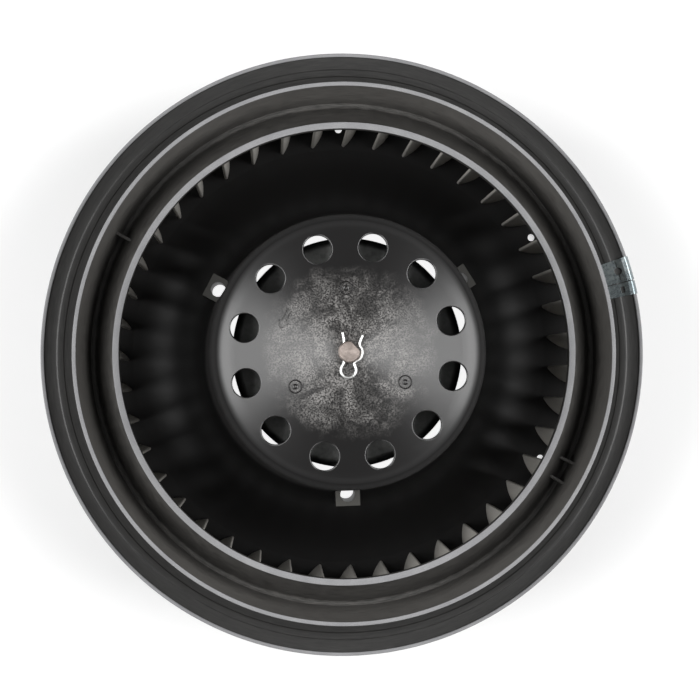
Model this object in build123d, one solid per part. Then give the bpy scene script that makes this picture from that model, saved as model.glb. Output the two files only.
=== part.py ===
from build123d import *
from math import asin, atan2, cos, degrees, radians, sin, sqrt, tan
import os

# Centrifugal blower wheel on its permanent-magnet motor. Millimetres, +Z up.
# The axis of the shaft is Z, and the rear face of the motor stands on z = 0.

# How far a cutting solid runs past the face that it opens
cut_past = 1.0

# Shaft
shaft_radius = 4.0
shaft_bottom_z = 5.0
shaft_above_crown = 3.0
flat_depth = 1.0
flat_direction = 45.0
flat_below_sleeve = 1.0
shaft_chamfer = 0.4
bore_clearance = 0.03

# Wheel hub
plate_bottom_z = 8.0
plate_inset = 2.3
hub_wall = 2.2
sleeve_gap = 0.8
crown_drop = 2.6
can_to_hub_gap = 5.7
crown_corner = 9.0
crown_blend = 40.0
skirt_lean = 6.3
flare_short_of_lip = 1.0
sleeve_radius = 9.0
sleeve_length = 13.5
vent_count = 12
vent_radius = 5.25
vent_inset = 3.8
vent_first = 17.0
vent_edge_rounding = 0.45
drain_count = 6
drain_radius = 1.5
drain_outside_lip = 7.7
drain_first = 32.0

# Boss pads on the skirt
boss_count = 3
boss_first = 32.3
boss_outside_crown = 5.5
boss_height = 45.0
boss_foot_height = 22.0
boss_hole_radius = 3.0
boss_width = 9.9
boss_reach = 4.6

# Blades
blade_count = 43
blade_first = 5.5
blade_thickness = 1.4
blade_bend = 20.0
blade_inlet_angle = 50.0
blade_inset = 4.0
blade_height = 50.1
blade_lip_gap = 0.1
blade_end_share = 0.42

# Inlet ring
ring_wall = 1.8
ring_width = 32.5
lip_width = 2.5
lip_rise = 25.7
lip_height = 6.0
shroud_corner = 1.2
channel_from_lip = 10.0
channel_floor = 3.0
wall_rise = 28.7
wall_from_lip = 16.5
wall_top_width = 1.5
flange_radius = 120.8
flange_rise = 1.8
rim_width = 1.4
rim_height = 3.1
rib_thickness = 1.2
rib_depth = 9.0
rib_angles = (151.9, 329.6, 334.6)

# Balance clips and hairpin cotter
clip_sheet = 0.6
clip_length = 11.6
clip_hook = 3.4
clip_gap = 0.02
clip_bend = 0.35
clip_step = 1.2
clip_hole_outwards = 1.0
large_clip_from = 14.5
large_clip_to = 19.1
small_clip_from = 11.7
small_clip_to = 14.3
large_clip_hole = 1.5
small_clip_hole = 0.9
wire_radius = 0.5
cotter_lift = 0.9
cotter_leg_inset = 2.1
cotter_loop_reach = 2.7
cotter_loop_radius = 2.3
cotter_leg_length = 13.8
cotter_loop_flat = 0.012
cotter_neck_rise = 1.2
cotter_neck_bend = 1.2
cotter_bow_gap = 0.15
cotter_bow_bend = 2.0
cotter_tip_pinch = 0.7
cotter_tip_pinch_at = 2.6
cotter_tip_flare = 0.1
cotter_tip_flare_at = 1.0
cotter_tip_bend = 0.8
cotter_hole_clearance = 0.06

# Motor can
can_radius = 43.4
can_wall = 1.8
can_bottom_z = 10.0
can_top_z = 119.0
can_shoulder = 3.0
can_shaft_gap = 1.0
can_screw_gap = 0.2

# Magnets and their springs
magnet_count = 4
magnet_span = 74.0
magnet_thickness = 10.9
magnet_overhang = 6.0
magnet_front_overhang = 8.0
magnet_seat = 0.1
magnet_spring_sheet = 0.6
magnet_spring_inset = 6.0
magnet_spring_gap = 0.05
magnet_spring_edge = 1.0
magnet_spring_bend = 0.8

# Armature
air_gap = 0.8
stack_to_can_front = 23.0
slot_count = 12
slot_root_radius = 14.0
slot_root_width = 4.0
slot_tip_width = 9.0
slot_mouth = 2.6
slot_corner = 0.9
tooth_tip = 2.8
insulator_thickness = 1.0
winding_inset = 0.4
winding_inner_radius = 9.5
winding_overhang = 11.0
end_turn_share = 0.42

# Commutator
commutator_radius = 11.0
commutator_below_brush = 2.0
commutator_above_brush = 5.5
bar_count = 24
bar_thickness = 2.4
bar_gap = 0.5
riser_height = 1.6
riser_reach = 1.4
commutator_collar_radius = 6.5

# Brushes, holders and springs
brush_width = 6.0
brush_height = 9.0
spring_length = 10.2
brush_clearance = 0.1
holder_wall = 0.7
holder_gap = 3.0
holder_end_gap = 4.6
holder_slot_width = 1.6
holder_slot_inset = 2.1
spring_wire_radius = 0.3
spring_coil_radius = 2.2
spring_turns = 6
spring_end_gap = 0.05

# Bearings
bearing_ball_radius = 8.0
bearing_half_length = 4.5
running_clearance = 0.03
seat_offset = 3.45
seat_clearance = 0.08
felt_thickness = 3.2
housing_wall = 1.8
housing_depth = 5.6
front_bearing_inset = 3.0
rear_bearing_z = 9.5
retainer_sheet = 0.6
retainer_slit_count = 6
retainer_slit_width = 0.6
retainer_rim = 1.0
felt_gap = 0.2
washer_thickness = 0.8
washer_radius = 7.0
washer_gap = 0.3
slinger_radius = 7.5
slinger_gap = 0.5

# Rear end bell and brush card
bell_wall = 2.5
bell_floor = 3.0
spigot_clearance = 0.05
bell_top_z = 19.5
card_thickness = 2.2
card_inner_radius = 14.5
card_edge_gap = 0.2
socket_width = 22.0
socket_height = 10.0
socket_depth = 14.0
socket_wall = 2.0
socket_inset = 14.6
terminal_width = 6.3
terminal_sheet = 0.8
terminal_pitch = 11.0
terminal_recess = 3.0
fixing_inset = 11.6
fixing_hole_radius = 2.1
fixing_depth = 12.0
fixing_floor = 2.0
fixing_post_radius = 5.0
fixing_angles = (90.0, 210.0, 330.0)
card_screw_inset = 5.6
card_screw_radius = 1.25
card_screw_head = 2.8
card_screw_head_height = 1.8
card_screw_depth = 9.0
card_post_radius = 3.4
card_screw_angles = (135.0, 315.0)
card_hole_clearance = 0.2
bell_screw_radius = 1.7
bell_screw_head = 3.4
bell_screw_head_height = 1.8
bell_screw_head_gap = 0.15
bell_screw_length = 5.0
bell_screw_z = 15.0
bell_screw_angles = (30.0, 150.0, 270.0)
choke_count = 2
choke_first = 195.0
choke_end_gap = 3.175
choke_inset = 14.1
choke_rod_radius = 2.4
choke_rod_length = 16.0
choke_coil_radius = 3.3
choke_coil_length = 12.0

# Places that follow from the sizes above: the motor
can_inner_radius = can_radius - can_wall
card_z = bell_top_z
card_top_z = card_z + card_thickness
brush_z = card_top_z + holder_wall + brush_clearance + brush_height / 2
seat_radius = sqrt(bearing_ball_radius ** 2 - seat_offset ** 2) + seat_clearance
housing_radius = bearing_ball_radius + felt_thickness
front_bearing_z = can_top_z - front_bearing_inset
front_cup_top_z = front_bearing_z + housing_depth + can_wall
front_washer_z = front_bearing_z - bearing_half_length - washer_gap - washer_thickness
rear_washer_z = rear_bearing_z + bearing_half_length + washer_gap
rear_washer_top_z = rear_washer_z + washer_thickness
slinger_z = front_cup_top_z + slinger_gap
commutator_bottom_z = brush_z - brush_height / 2 - commutator_below_brush
commutator_top_z = brush_z + brush_height / 2 + commutator_above_brush
commutator_core_radius = commutator_radius - bar_thickness
stack_bottom_z = commutator_top_z + washer_gap + winding_overhang + 2 * insulator_thickness
stack_top_z = can_top_z - stack_to_can_front
magnet_bottom_z = stack_bottom_z - magnet_overhang
magnet_top_z = stack_top_z + magnet_front_overhang
magnet_outer_radius = can_inner_radius - magnet_seat
magnet_inner_radius = magnet_outer_radius - magnet_thickness
stack_radius = magnet_inner_radius - air_gap
holder_start = commutator_radius + holder_gap
holder_length = can_inner_radius - holder_end_gap - holder_start
brush_start = commutator_radius + brush_clearance
brush_length = holder_start + holder_length - holder_wall - spring_length - brush_start
socket_y = socket_inset - can_inner_radius
fixing_circle = can_inner_radius - fixing_inset
card_screw_circle = can_inner_radius - card_screw_inset
choke_circle = can_inner_radius - choke_inset
choke_half_step = atan2(choke_rod_length / 2 + choke_end_gap, choke_circle - choke_rod_radius)
choke_angles = [choke_first + 2 * index * degrees(choke_half_step) for index in range(choke_count)]

# Places that follow: the wheel
sleeve_bottom_z = slinger_z + washer_thickness + sleeve_gap
crown_z = sleeve_bottom_z + sleeve_length
shaft_top_z = crown_z + shaft_above_crown
cotter_z = crown_z + cotter_lift + wire_radius
cotter_leg_x = cotter_leg_inset - shaft_radius
cotter_loop_y = -shaft_radius - cotter_loop_reach
crown_radius = can_radius + can_to_hub_gap + hub_wall
foot_radius = crown_radius + skirt_lean
boss_circle = crown_radius + boss_outside_crown
boss_top_z = plate_bottom_z + boss_height
boss_bottom_z = plate_bottom_z + boss_foot_height
vent_circle = can_radius - vent_inset
plate_top_z = plate_bottom_z + hub_wall
plate_radius = flange_radius - plate_inset
lip_radius = flange_radius - ring_width
drain_circle = lip_radius + drain_outside_lip
blade_tilt = sin(radians(blade_inlet_angle))
blade_start = lip_radius + blade_lip_gap + blade_thickness * blade_tilt / 2
blade_outer_radius = flange_radius - blade_inset
channel_bottom_z = plate_top_z + blade_height
channel_z = channel_bottom_z + ring_wall / 2
channel_inner_radius = lip_radius + channel_from_lip
channel_outer_radius = channel_inner_radius + channel_floor
lip_top_z = channel_bottom_z + lip_rise
wall_top_z = channel_bottom_z + wall_rise
wall_top_radius = lip_radius + wall_from_lip
flange_z = channel_z + flange_rise
clip_inner_radius = flange_radius - clip_length


def ring_between(inner, outer, bottom, top):
    """A plain ring about Z."""
    height = top - bottom
    ring = Cylinder(outer, height, align=(Align.CENTER, Align.CENTER, Align.MIN))
    bore = Cylinder(inner, height + 2 * cut_past, align=(Align.CENTER, Align.CENTER, Align.MIN))
    return Pos(0, 0, bottom) * ring - Pos(0, 0, bottom - cut_past) * bore


def disc_between(radius, bottom, top):
    """A plain disc or pin about Z."""
    disc = Cylinder(radius, top - bottom, align=(Align.CENTER, Align.CENTER, Align.MIN))
    return Pos(0, 0, bottom) * disc


def at_polar(radius, angle, shape):
    """A shape made at the axis, turned and moved out to a radius."""
    return Rot(0, 0, angle) * Pos(radius, 0, 0) * shape


def turned_section(face, start=0.0, sweep=360.0):
    """A section drawn as (radius, z), turned about Z from one angle through a sweep."""
    standing = Rot(0, 0, start) * (Plane.XZ * face)
    return revolve(standing, Axis.Z, sweep)


def sheet_section(points, radii, thickness):
    """The section of a bent wall whose middle line runs through points."""
    if len(points) == 2:
        return trace(Line(*points), thickness)
    return trace(FilletPolyline(*points, radius=radii), thickness)


def one_part(shape, name):
    """Name a finished shape and write its file."""
    shape.label = name
    export_step(shape, f"parts/{name}.step")


def hub_middle_line():
    """Corners and corner radii of the hub's wall, from the axis to the plate's rim."""
    half = hub_wall / 2
    skirt_top = (crown_radius - half, crown_z - crown_drop - half)
    skirt_foot = (foot_radius - half, plate_bottom_z + half)
    lean = atan2(skirt_foot[0] - skirt_top[0], skirt_top[1] - skirt_foot[1])
    half_turn = (radians(90) - lean) / 2
    flare = (lip_radius - flare_short_of_lip - skirt_foot[0]) / tan(half_turn)
    points = [
        (0, crown_z - half),
        (sleeve_radius, crown_z - half),
        skirt_top,
        skirt_foot,
        (plate_radius, plate_bottom_z + half),
    ]
    return points, (crown_blend, crown_corner, flare)


def hub_shell():
    """Crown, skirt, flare and back plate as one turned wall."""
    points, radii = hub_middle_line()
    return turned_section(sheet_section(points, radii, hub_wall))


def hub_inside():
    """Everything under the middle of the hub's wall."""
    points, radii = hub_middle_line()
    line = FilletPolyline(*points, radius=radii)
    corners = [points[-1], (plate_radius, 0), (0, 0), points[0]]
    return turned_section(make_face(line + Polyline(*corners)))


def shaft_section(radius, flat_distance):
    """Round section with one flat."""
    cut = Pos(flat_distance + radius, 0) * Rectangle(2 * radius, 4 * radius)
    return Rot(0, 0, flat_direction) * (Circle(radius) - cut)


def blade_angle_at(radius):
    """How far a blade lags its inner edge, in degrees, at a radius."""
    start = radians(blade_inlet_angle)
    turn = asin((radius - blade_start) / blade_bend - sin(start))
    side = blade_bend * (cos(start) - cos(turn))
    return degrees(atan2(side, radius))


def drain_angle(target):
    """The middle of the blade gap nearest to an angle."""
    pitch = 360 / blade_count
    first = blade_first + blade_angle_at(drain_circle) + pitch / 2
    return first + round((target - first) / pitch) * pitch


def boss_pad():
    """The pad and its backing wall, before the pocket and the hole are cut."""
    backing = disc_between(boss_width / 2 + hub_wall, boss_bottom_z, crown_z - crown_drop)
    block_length = boss_reach + hub_wall
    block = Box(block_length, boss_width, boss_top_z - plate_bottom_z)
    block = Pos(boss_reach - block_length / 2, 0, (boss_top_z + plate_bottom_z) / 2) * block
    return Pos(boss_circle, 0, 0) * backing, Pos(boss_circle, 0, 0) * block


def vent_edges(hub):
    """The edges of the vents on the crown's outer face."""
    middle_of_wall = crown_z - crown_drop - hub_wall / 2
    found = ShapeList()
    for index in range(vent_count):
        angle = radians(vent_first + index * 360 / vent_count)
        axis = Vector(vent_circle * cos(angle), vent_circle * sin(angle), 0)
        for edge in hub.edges():
            point = edge.position_at(0.5)
            reach = Vector(point.X - axis.X, point.Y - axis.Y, 0).length
            if abs(reach - vent_radius) < vent_edge_rounding and point.Z > middle_of_wall:
                found.append(edge)
    return found


def wheel_hub():
    """The moulded hub: shell, shaft sleeve, three boss pads, vents and drains."""
    inside = hub_inside()
    hub = hub_shell()
    hub += disc_between(sleeve_radius, sleeve_bottom_z, crown_z - hub_wall / 2)
    backing, block = boss_pad()
    above_flare = Pos(boss_circle, (plate_bottom_z + crown_z) / 2)
    above_flare = turned_section(above_flare * Rectangle(4 * boss_width, crown_z - plate_bottom_z))
    for index in range(boss_count):
        turn = Rot(0, 0, boss_first + index * 360 / boss_count)
        hub += (turn * backing) & inside
        hub += (turn * block) & above_flare - inside
    for index in range(boss_count):
        angle = boss_first + index * 360 / boss_count
        pocket = disc_between(boss_width / 2, boss_top_z, crown_z)
        hole = disc_between(boss_hole_radius, 0, boss_top_z + cut_past)
        hub -= at_polar(boss_circle, angle, pocket)
        hub -= at_polar(boss_circle, angle, hole)
    vent = disc_between(vent_radius, crown_z - crown_drop - 3 * hub_wall, crown_z + cut_past)
    for index in range(vent_count):
        hub -= at_polar(vent_circle, vent_first + index * 360 / vent_count, vent)
    hub = fillet(vent_edges(hub), vent_edge_rounding)
    drain = disc_between(drain_radius, 0, plate_top_z + cut_past)
    for index in range(drain_count):
        hub -= at_polar(drain_circle, drain_angle(drain_first + index * 360 / drain_count), drain)
    bore = shaft_section(shaft_radius + bore_clearance, shaft_radius - flat_depth + bore_clearance)
    bore = extrude(bore, sleeve_length + 2 * cut_past)
    return hub - Pos(0, 0, sleeve_bottom_z - cut_past) * bore


def ring_profile():
    """Shroud, channel, outer wall and flange of the inlet ring, as one section."""
    lip_middle = lip_radius + lip_width / 2
    wall_middle = wall_top_radius + wall_top_width / 2
    shroud = [
        (lip_middle, lip_top_z - ring_wall),
        (channel_inner_radius, channel_z),
        (channel_outer_radius, channel_z),
        (wall_middle, wall_top_z - ring_wall / 2),
    ]
    section = sheet_section(shroud, shroud_corner, ring_wall)
    flange_end = flange_radius - rim_width / 2
    flange = [(channel_outer_radius, channel_z), (flange_end, flange_z)]
    section += sheet_section(flange, 0, ring_wall)
    lip = Pos(lip_middle, lip_top_z - lip_height / 2) * Rectangle(lip_width, lip_height)
    rim = Pos(flange_end, flange_z) * Rectangle(rim_width, rim_height)
    cap_height = 2 * ring_wall
    cap = Pos(wall_middle, wall_top_z - cap_height / 2) * Rectangle(wall_top_width, cap_height)
    return section + lip + rim + cap


def channel_rib():
    """A thin plate across the labyrinth channel, as wide at its top as the channel's leaning walls."""
    inner_reach = channel_inner_radius - lip_radius - lip_width / 2
    outer_reach = wall_top_radius + wall_top_width / 2 - channel_outer_radius
    inner_lean = inner_reach / (lip_top_z - ring_wall - channel_z)
    outer_lean = outer_reach / (wall_top_z - ring_wall / 2 - channel_z)
    top = channel_z + rib_depth
    points = [
        (channel_inner_radius, channel_z),
        (channel_inner_radius - rib_depth * inner_lean, top),
        (channel_outer_radius + rib_depth * outer_lean, top),
        (channel_outer_radius, channel_z),
    ]
    outline = make_face(Polyline(*points, close=True))
    return extrude(Plane.XZ * outline, rib_thickness / 2, both=True)


def inlet_ring():
    """The welded ring: lip, shroud, labyrinth channel, outer wall, flange and rim."""
    ring = turned_section(ring_profile())
    for angle in rib_angles:
        ring += Rot(0, 0, angle) * channel_rib()
    return ring


def blade_space():
    """The space between the plate's middle and the ring's middle that blades are cut to."""
    lip_middle = lip_radius + lip_width / 2
    points = [
        (lip_radius - lip_width, plate_bottom_z + hub_wall / 2),
        (lip_radius - lip_width, lip_top_z - ring_wall),
        (lip_middle, lip_top_z - ring_wall),
        (channel_inner_radius, channel_z),
        (channel_outer_radius, channel_z),
        (flange_radius - rim_width / 2, flange_z),
        (flange_radius - rim_width / 2, plate_bottom_z + hub_wall / 2),
    ]
    return turned_section(make_face(Polyline(*points, close=True)), -20.0, 40.0)


def wheel_blades(ring):
    """Forward-curved blades, each one solid, standing on the plate under the ring."""
    start = radians(blade_inlet_angle)
    finish = asin((blade_outer_radius - blade_start) / blade_bend - sin(start))
    tangent = (cos(-start), sin(-start))
    line = JernArc((blade_start, 0), tangent, blade_bend, blade_inlet_angle + degrees(finish))
    outline = trace(line, blade_thickness)
    outline = fillet(outline.vertices(), blade_thickness * blade_end_share)
    blade = Pos(0, 0, plate_bottom_z) * extrude(outline, lip_top_z - plate_bottom_z)
    blade = blade & blade_space()
    blade = blade - hub_shell() - ring
    blade = blade.solids().sort_by(SortBy.VOLUME)[-1]
    pitch = 360 / blade_count
    return Compound([Rot(0, 0, blade_first + index * pitch) * blade for index in range(blade_count)])


def flange_face_at(radius):
    """The height of the flange's upper face at a radius."""
    slope = flange_rise / (flange_radius - rim_width / 2 - channel_outer_radius)
    return channel_z + (radius - channel_outer_radius) * slope + ring_wall / 2


def balance_clip(start, finish, hole_radius):
    """A bent sheet clip hooked over the ring's rim, with a hole in its top leg."""
    half = clip_sheet / 2 + clip_gap
    leg_end = flange_radius - rim_width - clip_step
    rim_top = flange_z + rim_height / 2 + half
    rim_bottom = flange_z - rim_height / 2 - half
    outside = flange_radius + half
    points = [
        (clip_inner_radius, flange_face_at(clip_inner_radius) + half),
        (leg_end, flange_face_at(leg_end) + half),
        (flange_radius - rim_width - half, rim_top),
        (outside, rim_top),
        (outside, rim_bottom),
        (outside - clip_hook, rim_bottom),
    ]
    clip = turned_section(sheet_section(points, clip_bend, clip_sheet), start, finish - start)
    middle = (clip_inner_radius + leg_end) / 2 + clip_hole_outwards
    drill = disc_between(hole_radius, channel_z, flange_z + rim_height)
    return clip - at_polar(middle, (start + finish) / 2, drill)


def hairpin_cotter():
    """Spring wire: one straight leg through the shaft, one leg bowed round it."""
    leg_x = cotter_leg_x
    bow_x = shaft_radius + wire_radius + cotter_bow_gap
    loop_x = cotter_leg_x + 2 * cotter_loop_radius
    loop_bottom_y = cotter_loop_y - cotter_loop_radius
    tip_y = cotter_loop_y + cotter_leg_length
    points = [
        (leg_x, tip_y),
        (leg_x, loop_bottom_y),
        (loop_x, loop_bottom_y),
        (loop_x, cotter_loop_y + cotter_neck_rise),
        (bow_x, cotter_loop_y / 3),
        (bow_x, -cotter_loop_y / 3),
        (bow_x - cotter_tip_pinch, tip_y - cotter_tip_pinch_at),
        (bow_x + cotter_tip_flare, tip_y - cotter_tip_flare_at),
    ]
    loop_bend = cotter_loop_radius - cotter_loop_flat
    bends = (loop_bend, loop_bend, cotter_neck_bend, cotter_bow_bend, cotter_bow_bend, cotter_tip_bend)
    line = FilletPolyline(*points, radius=bends)
    wire = sweep(Plane(line @ 0, z_dir=line % 0) * Circle(wire_radius), line)
    return Pos(0, 0, cotter_z) * wire


def hairpin_cotter():
    """Spring wire: one straight leg through the shaft, one leg bowed round it."""
    leg_x = cotter_leg_x
    bow_x = shaft_radius + wire_radius + 0.15
    loop_x = cotter_leg_x + 2 * cotter_loop_radius
    tip_y = cotter_loop_y + cotter_leg_length
    points = [
        (leg_x, tip_y),
        (leg_x, cotter_loop_y - cotter_loop_radius * 0.999),
        (loop_x, cotter_loop_y - cotter_loop_radius * 0.999),
        (loop_x, cotter_loop_y + 1.2),
        (bow_x, cotter_loop_y / 3),
        (bow_x, -cotter_loop_y / 3),
        (bow_x - 0.7, tip_y - 2.6),
        (bow_x + 0.1, tip_y - 1.0),
    ]
    bend = cotter_loop_radius * 0.995
    line = FilletPolyline(*points, radius=(bend, bend, 1.2, 2.0, 2.0, 0.8))
    wire = sweep(Plane(line @ 0, z_dir=line % 0) * Circle(wire_radius), line)
    return Pos(0, 0, cotter_z) * wire


def motor_shaft():
    """Round bar with a flat at the wheel end and a cross hole for the cotter."""
    shaft = disc_between(shaft_radius, shaft_bottom_z, shaft_top_z)
    shaft = chamfer(shaft.edges().filter_by(GeomType.CIRCLE), shaft_chamfer)
    flat_bottom = sleeve_bottom_z - flat_below_sleeve
    cut = Pos(2 * shaft_radius - flat_depth, 0, flat_bottom) * Box(
        2 * shaft_radius, 4 * shaft_radius, 2 * (shaft_top_z - flat_bottom),
        align=(Align.CENTER, Align.CENTER, Align.MIN))
    shaft -= Rot(0, 0, flat_direction) * cut
    hole = Cylinder(wire_radius + cotter_hole_clearance, 4 * shaft_radius, rotation=(90, 0, 0))
    return shaft - Pos(cotter_leg_x, 0, cotter_z) * hole


def slot_outline(inset):
    """One winding slot of the laminations, drawn along X."""
    tip = stack_radius - tooth_tip - inset
    root = slot_root_radius + inset
    points = [
        (root, -slot_root_width / 2 + inset),
        (tip, -slot_tip_width / 2 + inset),
        (tip, slot_tip_width / 2 - inset),
        (root, slot_root_width / 2 - inset),
    ]
    outline = make_face(Polyline(*points, close=True))
    return fillet(outline.vertices(), slot_corner)


def lamination():
    """The round toothed section of the armature."""
    mouth = Pos(stack_radius - tooth_tip / 2, 0) * Rectangle(tooth_tip * 2, slot_mouth)
    section = Circle(stack_radius) - Circle(shaft_radius)
    for index in range(slot_count):
        section -= Rot(0, 0, index * 360 / slot_count) * (slot_outline(0) + mouth)
    return section


def armature_core():
    """The stack of laminations."""
    return Pos(0, 0, stack_bottom_z) * extrude(lamination(), stack_top_z - stack_bottom_z)


def slot_insulator(bottom):
    """A fibre sheet with the laminations' outline."""
    return Pos(0, 0, bottom) * extrude(lamination(), insulator_thickness)


def end_turns(near_z, far_z):
    """The rounded crown of coil ends beyond the stack, from near the stack outwards."""
    outer = stack_radius - tooth_tip - winding_inset
    height = abs(far_z - near_z)
    width = outer - winding_inner_radius
    outline = Pos((outer + winding_inner_radius) / 2, (near_z + far_z) / 2) * Rectangle(width, height)
    far = [v for v in outline.vertices() if abs(v.Y - far_z) < 0.01]
    return turned_section(fillet(far, min(width, height) * end_turn_share))


def armature_winding():
    """Copper coils: a bar in every slot, joined by the end turns."""
    rear = stack_bottom_z - insulator_thickness
    front = stack_top_z + insulator_thickness
    winding = end_turns(rear, rear - winding_overhang) + end_turns(front, front + winding_overhang)
    bar = Pos(0, 0, rear - 1) * extrude(slot_outline(winding_inset), front - rear + 2)
    for index in range(slot_count):
        winding += Rot(0, 0, index * 360 / slot_count) * bar
    return winding


def commutator_core():
    """The phenolic moulding that holds the copper bars on the shaft."""
    collar = ring_between(shaft_radius, commutator_collar_radius, rear_washer_top_z, commutator_bottom_z)
    core = ring_between(shaft_radius, commutator_core_radius, commutator_bottom_z, commutator_top_z)
    return collar + core


def commutator_bars():
    """Copper segments round the moulding, each with a riser for its coil wire."""
    bars = ring_between(commutator_core_radius, commutator_radius, commutator_bottom_z, commutator_top_z)
    riser_radius = commutator_radius + riser_reach
    riser_bottom = commutator_top_z - riser_height
    bars += ring_between(commutator_core_radius, riser_radius, riser_bottom, commutator_top_z)
    height = commutator_top_z - commutator_bottom_z + 2 * cut_past
    gap = Box(riser_reach + bar_thickness + 2 * cut_past, bar_gap, height,
              align=(Align.MIN, Align.CENTER, Align.MIN))
    gap = Pos(-cut_past, 0, commutator_bottom_z - cut_past) * gap
    for index in range(bar_count):
        bars -= at_polar(commutator_core_radius, index * 360 / bar_count, gap)
    return Compound(bars.solids())


def front_spacer():
    """A tube on the shaft between the stack and the front thrust washer."""
    bottom = stack_top_z + insulator_thickness
    return ring_between(shaft_radius, commutator_collar_radius, bottom, front_washer_z)


def rear_spacer():
    """A tube on the shaft between the commutator and the stack."""
    return ring_between(shaft_radius, commutator_collar_radius, commutator_top_z,
                        stack_bottom_z - insulator_thickness)


def thrust_washer(bottom):
    """A plain washer on the shaft."""
    return ring_between(shaft_radius, washer_radius, bottom, bottom + washer_thickness)


def oil_slinger():
    """A washer on the shaft that throws oil off before it reaches the wheel."""
    return ring_between(shaft_radius, slinger_radius, slinger_z, slinger_z + washer_thickness)


def bearing(z):
    """A self-aligning sintered bearing: a ball with flat ends and a bore."""
    ball = Sphere(bearing_ball_radius) & Box(4 * bearing_ball_radius, 4 * bearing_ball_radius,
                                             2 * bearing_half_length)
    bore = Cylinder(shaft_radius + running_clearance, 4 * bearing_half_length)
    return Pos(0, 0, z) * (ball - bore)


def oil_felt(z):
    """The oil-soaked ring round a bearing."""
    half = seat_offset - felt_gap
    return ring_between(bearing_ball_radius + felt_gap, housing_radius - felt_gap, z - half, z + half)


def bearing_retainer(z, bottom):
    """A spring washer that holds a bearing in its seat, with six slits for fingers."""
    washer = ring_between(seat_radius, housing_radius + housing_wall, bottom, bottom + retainer_sheet)
    slit_length = housing_radius - seat_radius - retainer_rim + cut_past
    slit = Box(slit_length, retainer_slit_width, retainer_sheet + 2 * cut_past,
               align=(Align.MIN, Align.CENTER, Align.MIN))
    slit = Pos(-cut_past, 0, bottom - cut_past) * slit
    for index in range(retainer_slit_count):
        washer -= at_polar(seat_radius, index * 360 / retainer_slit_count, slit)
    return washer


def bearing_housing(z, open_side):
    """The cup round a bearing: open on one side, a seat and a floor on the other."""
    near = z + open_side * seat_offset
    far = z - open_side * housing_depth
    outer = housing_radius + housing_wall
    cup = ring_between(housing_radius, outer, min(near, far), max(near, far))
    seat_far = z - open_side * seat_offset
    seat_edge = housing_radius + housing_wall / 2
    return cup + ring_between(seat_radius, seat_edge, min(seat_far, far), max(seat_far, far))


def motor_can():
    """Deep-drawn steel can, closed at the front round the bearing cup."""
    outside = disc_between(can_radius, can_bottom_z, can_top_z)
    outside = fillet(outside.edges().sort_by(Axis.Z)[-1], can_shoulder)
    inside = disc_between(can_inner_radius, can_bottom_z - cut_past, can_top_z - can_wall)
    inside = fillet(inside.edges().sort_by(Axis.Z)[-1], can_shoulder - can_wall)
    can = outside - inside
    can -= disc_between(housing_radius + housing_wall / 2, can_top_z - 2 * can_wall, can_top_z + cut_past)
    can += bearing_housing(front_bearing_z, -1)
    lid_bottom = front_cup_top_z - can_wall
    cup_radius = housing_radius + housing_wall
    can += ring_between(shaft_radius + can_shaft_gap, cup_radius, lid_bottom, front_cup_top_z)
    screw = Cylinder(bell_screw_radius + can_screw_gap, 4 * can_wall, rotation=(0, 90, 0))
    for angle in bell_screw_angles:
        can -= at_polar(can_radius, angle, Pos(0, 0, bell_screw_z) * screw)
    return can


def magnet(index):
    """One ferrite arc bonded inside the can."""
    place = Pos((magnet_inner_radius + magnet_outer_radius) / 2, (magnet_bottom_z + magnet_top_z) / 2)
    section = place * Rectangle(magnet_thickness, magnet_top_z - magnet_bottom_z)
    middle = (index + 0.5) * 360 / magnet_count
    return turned_section(section, middle - magnet_span / 2, magnet_span)


def magnet_spring(index):
    """A bent steel spring that pushes two neighbouring magnets apart."""
    half_gap = radians((360 / magnet_count - magnet_span) / 2)
    shift = (magnet_spring_sheet / 2 + magnet_spring_gap) / cos(half_gap)
    inner = magnet_inner_radius + magnet_spring_edge
    outer = magnet_outer_radius - magnet_spring_edge
    near = inner * tan(half_gap) - shift
    far = outer * tan(half_gap) - shift
    points = [(inner, -near), (outer, -far), (outer, far), (inner, near)]
    height = magnet_top_z - magnet_bottom_z - 2 * magnet_spring_inset
    sheet = extrude(sheet_section(points, magnet_spring_bend, magnet_spring_sheet), height)
    sheet = Pos(0, 0, magnet_bottom_z + magnet_spring_inset) * sheet
    return Rot(0, 0, index * 360 / magnet_count) * sheet


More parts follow.
